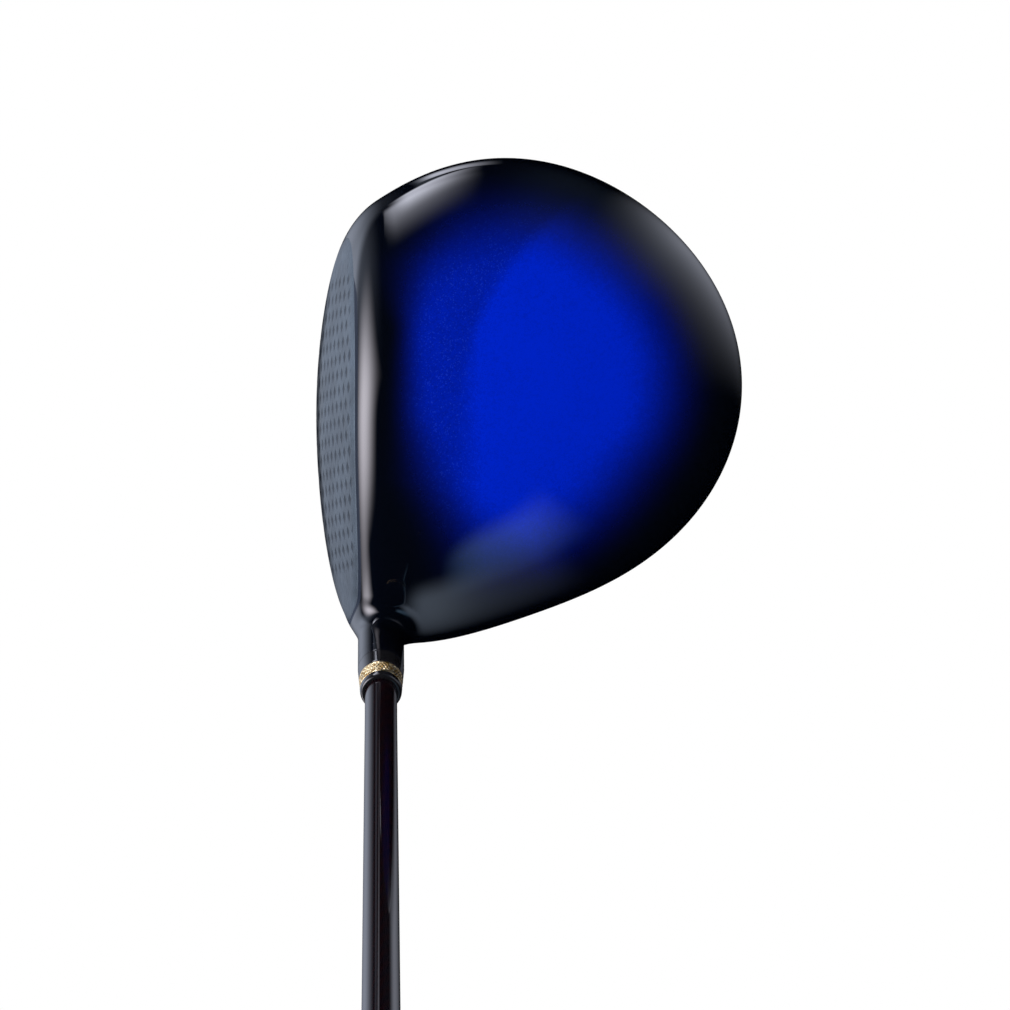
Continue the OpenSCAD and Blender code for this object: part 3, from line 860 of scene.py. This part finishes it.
# ---- sole weight ----------------------------------------------------------------------------
axis_r = 0.02               # turned outlines stop this near the axis
weight_r, thread_r, running = 10.0, 4.0, 0.05
sunk, seat, washer_high, washer_in = -0.7, -5.2, 0.8, 0.6
port_foot, port_chamfer, thread_hole = -14, 3, -12.8
pocket_r, hole_r = weight_r + running, thread_r + running

lathe("weight_port", [[port_foot, axis_r], [port_foot, port_r - port_chamfer],
                      [port_foot + port_chamfer, port_r], [sunk, port_r], [sunk, pocket_r],
                      [seat, pocket_r], [seat, hole_r], [thread_hole, hole_r], [thread_hole, axis_r]],
      metal("port_titanium", (0.42, 0.43, 0.45), 0.45, grain=4.0, grain_depth=0.02),
      "weight_port", place=at_port, round_off=0.35)
washer_foot, washer_top, washer_r = seat + glue, seat + washer_high - glue, weight_r - washer_in
lathe("weight_washer", [[washer_foot, hole_r], [washer_foot, washer_r], [washer_top, washer_r],
                        [washer_top, hole_r]],
      rubber("washer_rubber", (0.02, 0.02, 0.02)), "weight_washer", place=at_port,
      body="washer", round_off=0.2)


def weight_mesh(n=288):
    """The screw: a flat head with a six-lobed socket and turning marks, and a helical thread."""
    top, under, floor = sunk - 0.2, seat + washer_high, sunk - 3.2
    foot, depth, pitch, bevel = seat - 6.5, 0.32, 1.0, 0.6
    lobes, socket_r, lobe_at, lobe_r, waist_r = 6, 3.0, 2, 0.55, 2.1
    mark_deep, mark_pitch = 0.03, 0.5
    corners = bevelled([[foot, axis_r], [foot, thread_r - bevel], [foot + bevel, thread_r],
                        [under, thread_r], [under, weight_r], [top - bevel, weight_r],
                        [top, weight_r - bevel], [top, socket_r + 0.1], [floor, socket_r],
                        [floor, axis_r]], 0.12)
    loop = np.array(spread(corners, 0.14))
    a = 2 * math.pi * np.arange(n) / n
    s, r = loop[:, :1] + 0 * a, loop[:, 1:] + 0 * a
    wave = 0.5 + 0.5 * np.cos(2 * math.pi * ((s - foot) / pitch - a / (2 * math.pi)))
    threaded = (s > foot + 0.5) & (s < under - 0.6) & (r > thread_r - 0.1)
    r = np.where(threaded, r - depth * wave, r)
    lobe = off_whole(lobes * a / (2 * math.pi)) * 2 * math.pi / lobes
    reach = np.sqrt(np.maximum(lobe_r**2 - (lobe_at * np.sin(lobe)) ** 2, 0))
    star = np.maximum(waist_r, lobe_at * np.cos(lobe) + reach)
    mouth = np.argmax((loop[:, 0] > top - 0.01) & (loop[:, 1] < socket_r + 0.6))
    r = np.where(np.arange(len(loop))[:, None] > mouth, r * star / socket_r, r)
    marked = (s > top - 0.01) & (r < weight_r - 1) & (r > socket_r + 0.4)
    s = np.where(marked, s - mark_deep * (0.5 - 0.5 * np.cos(2 * math.pi * r / mark_pitch)), s)
    verts = at_port(s, r * np.cos(a), r * np.sin(a)).reshape(-1, 3)
    return verts, grid_faces(len(loop), n)


verts, faces = weight_mesh()
weight_alloy = metal("weight_alloy", (0.60, 0.57, 0.50), 0.28, grain=6.0, grain_depth=0.006)
make("weight", verts, faces, weight_alloy, body="weight", replaces=["weight_screw"],
     sharp=40)


def badge_place(s, x=0.0, y=0.0):
    """Local s points down out of the sole's flat pad."""
    s, x, y = np.broadcast_arrays(s, x, y)
    return np.stack([x, -y, -s], -1)


badge_back, badge_front, groove_deep, badge_bevel = -0.58, -0.02, 0.12, 0.15
rings = [[badge_front - groove_deep * (k % 2), r] for k, r in enumerate(np.linspace(8.0, 4.0, 9))]
lathe("badge", [[badge_back, axis_r], [badge_back, badge_r], [-0.12, badge_r],
                [-0.005, badge_r - badge_bevel], *rings, [badge_front, 3.6], [badge_front, axis_r]],
      metal("badge_alloy", (0.58, 0.59, 0.61), 0.3, grain=5.0, grain_depth=0.005),
      "sole_badge", place=badge_place, round_off=0.08, step=0.4)

# ---- pieces inside, which stay as they are in the CAD ---------------------------------------
INSIDE = {
    "neck_plug": ("plug_metal", metal("plug_alloy", (0.70, 0.70, 0.68), 0.3, stretched=(0.1, 1, 1))),
    "sole_ribs": ("rib_metal", metal("rib_titanium", (0.45, 0.46, 0.48), 0.5)),
    "hot_melt_pad": ("hot_melt", soft("hot_melt_resin", (0.62, 0.48, 0.16), (0.75, 0.62, 0.28),
                                      scale=0.8, rough=0.3)),
    "epoxy_layer": ("epoxy", soft("cured_epoxy", (0.66, 0.63, 0.42), (0.74, 0.72, 0.55),
                                  scale=1.5, rough=0.25, depth=0.01)),
    "shaft_tip_plug": ("cork", soft("cork", (0.28, 0.16, 0.07), (0.52, 0.34, 0.17),
                                    scale=1.6, rough=0.9)),
    "grip_tape": ("tape", soft("paper_tape", (0.62, 0.58, 0.46), (0.74, 0.71, 0.60),
                               scale=3.0, rough=0.85, depth=0.03)),
}
for node, (slot_name, material) in INSIDE.items():
    obj = frame["nodes"][node]
    obj.data.materials.clear()
    obj.data.materials.append(material)

# ---- floor, light and camera ----------------------------------------------------------------
# Soft cards round the club, seen only in reflections. Azimuths run from +X towards +Y. Each card
# fades in between its first two azimuths and out between the last two, and the same for its
# elevations, all in degrees. Then come how far it leans, in degrees of elevation per degree of
# azimuth, its radiance, and how blue it is.
CARDS = [
    (138, 175, 176, 207, -17, 16, 19, 60, -0.34, 10.8, 0),      # in front of the face
    (189, 222, 229, 236, -34, -18, -12, 12, -0.43, 6.6, 0),     # in front of the heel
    (123, 155, 156, 176, -48, -26, -12, 54, -0.69, 0.7, 1),     # low in front
    (112, 150, 180, 200, -95, -35, -30, -12, 0.0, 1.2, 0.9),    # table top in front
    (103, 105, 110, 112, -60, -45, -30, -20, 0.0, 0.17, 1),     # shaded edge of the table top
    (0, 42, 43, 64, -84, -24, -23, 37, -0.05, 1.15, 0.6),       # behind the toe
    (30, 45, 70, 92, -50, 0, 30, 48, 0.0, 0.05, 3),             # behind the toe, faint
    (93, 112, 113, 118, -28, -24, -22, 7, 0.42, 5.3, 0.4),      # beside the toe
    (92, 116, 117, 120, -21, -11, -9, 27, 0.05, 3.4, 0.4),      # beside the toe, higher
    (88, 105, 106, 111, -58, -41, -37, -35, -0.15, 2.6, 0.4),   # low beside the toe
    (281, 293, 294, 311, 12, 42, 43, 55, 0.50, 0.48, 5),        # past the heel
    (267, 277, 278, 301, -47, 17, 18, 37, 0.10, 1.0, 1.6),      # low past the heel
]


class Shader(Paint):
    """The same node helpers for a tree without a Principled shader."""

    def __init__(self, tree):
        self.tree = tree
        tree.nodes.clear()

    def cards(self, towards):
        """Radiance of the cards in a direction."""
        x, y, z = (self.add("SeparateXYZ", axis, Vector=towards) for axis in "XYZ")
        rise = self.math("MULTIPLY", self.math("ARCSINE", z), 180 / math.pi)
        total = cool = 0.0
        for a0, a1, a2, a3, e0, e1, e2, e3, tilt, level, tint in CARDS:
            middle = math.radians((a1 + a2) / 2)
            ahead, left = math.cos(middle), math.sin(middle)
            on = self.math("ADD", self.math("MULTIPLY", x, ahead), self.math("MULTIPLY", y, left))
            off = self.math("ADD", self.math("MULTIPLY", x, -left), self.math("MULTIPLY", y, ahead))
            aside = self.math("MULTIPLY", self.math("ARCTAN2", off, on), 180 / math.pi)
            turn = self.math("ADD", aside, (a1 + a2) / 2)
            card = self.math("MULTIPLY", self.span(turn, a0, a1), self.span(turn, a3, a2))
            high = self.math("SUBTRACT", rise, self.math("MULTIPLY", aside, tilt))
            for window in (self.span(high, e0, e1), self.span(high, e3, e2)):
                card = self.math("MULTIPLY", card, window)
            total = self.math("ADD", total, self.math("MULTIPLY", card, level))
            cool = self.math("ADD", cool, self.math("MULTIPLY", card, level * tint))
        green = self.math("ADD", self.math("MULTIPLY", total, 0.96), self.math("MULTIPLY", cool, 0.16))
        sky = self.math("ADD", self.math("MULTIPLY", total, 1.06), self.math("MULTIPLY", cool, 0.32))
        return self.add("CombineColor", 0, Red=total, Green=green, Blue=sky)

    def by_ray(self, seen, mirrored, scattered):
        """One colour for camera rays, one for reflections and one for scattered light."""
        other = self.mix(self.add("LightPath", "Is Diffuse Ray"), mirrored, scattered)
        return self.mix(self.add("LightPath", "Is Camera Ray"), other, seen)

    def output(self, kind, surface):
        out = self.tree.nodes.new(kind)
        self.tree.links.new(surface, out.inputs["Surface"])


WHITE = (1.0, 1.0, 1.0)
shadow_x, shadow_edge = 0.035, (0.040, 0.080)    # where the head shades the floor, in metres
sole_glow_reach = (0.030, 0.010)                 # the floor lights the sole from this near


def pale_floor():
    """White to the camera from above and clear from below, so that the sole can be looked at. Its
    shade and its glow show only in reflections."""
    material = bpy.data.materials.new("pale_floor")
    material.use_nodes = True
    m = Shader(material.node_tree)
    incoming = m.add("NewGeometry", "Incoming")
    towards = m.add("VectorMath", "Vector", operation="SCALE", Vector=incoming, Scale=-1.0)
    x, y = (m.add("SeparateXYZ", axis, Vector=m.add("NewGeometry", "Position")) for axis in "XY")
    off = m.math("SUBTRACT", x, shadow_x)
    far = m.math("SQRT", m.math("ADD", m.math("MULTIPLY", off, off), m.math("MULTIPLY", y, y)))
    lit = m.mix(m.span(far, *shadow_edge), (0.0, 0.0, 0.0), m.cards(towards))
    lit = m.mix(m.span(m.add("LightPath", "Ray Length"), *sole_glow_reach), lit, (0.7, 0.75, 0.85))
    seen = m.by_ray(WHITE, lit, (0.45, 0.45, 0.45))
    glow = m.add("Emission", 0, Color=seen, Strength=1.0)
    both = m.tree.nodes.new("ShaderNodeMixShader")
    m.feed(both, _0=m.add("NewGeometry", "Backfacing"), _1=glow, _2=m.add("BsdfTransparent", 0))
    m.output("ShaderNodeOutputMaterial", both.outputs[0])
    return material


def studio_world():
    world = bpy.data.worlds.new("studio")
    bpy.context.scene.world = world
    world.use_nodes = True
    m = Shader(world.node_tree)
    towards = m.add("TexCoord", "Generated")
    height = m.add("SeparateXYZ", "Z", Vector=towards)
    dome = m.span(height, -0.2, 1.0, 0.45, 1.2, False)
    seen = m.by_ray(WHITE, m.cards(towards), m.grey(dome))
    m.output("ShaderNodeOutputWorld", m.add("Background", 0, Color=seen, Strength=1.0))


half, floor_drop = 4.0, 0.0002
corners = [(-half, -half, 0), (half, -half, 0), (half, half, 0), (-half, half, 0)]
floor_mesh = bpy.data.meshes.new("floor")
floor_mesh.from_pydata(corners, [], [(0, 1, 2, 3)])
floor = bpy.data.objects.new("floor", floor_mesh)
floor.location.z = -floor_drop
floor_mesh.materials.append(pale_floor())
bpy.context.collection.objects.link(floor)
studio_world()
bpy.context.scene.view_settings.view_transform = "Standard"
bpy.context.scene.view_settings.look = "None"

# The photo looks down from 85.5 degrees above the horizon, from the golfer's side. The camera
# stands over the neck and looks a little behind it. Lengths are in metres, the lens in millimetres.
elevation, distance, picture_width = math.radians(85.5), 2.5, 0.27371
target_y, target_z, look_behind, sensor = -0.0257, 0.030, 0.0336, 36
neck_lo, neck_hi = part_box("neck_pipe")
target = Vector(((neck_lo.x + neck_hi.x) / 2, target_y, target_z))
back = Vector((0, -math.cos(elevation), math.sin(elevation)))
upward = Vector((0, math.sin(elevation), math.cos(elevation)))
camera = bpy.data.objects.new("camera", bpy.data.cameras.new("camera"))
bpy.context.collection.objects.link(camera)
camera.data.sensor_width = sensor
camera.data.lens = sensor * distance / picture_width
camera.location = target + back * distance
backward = (camera.location - target - Vector((look_behind, 0, 0))).normalized()
right = upward.cross(backward).normalized()
turn = Matrix((right, backward.cross(right), backward)).transposed()
camera.rotation_mode = "QUATERNION"
camera.rotation_quaternion = turn.to_quaternion()
camera.data.clip_start, camera.data.clip_end = 0.05, 50
bpy.context.scene.camera = camera
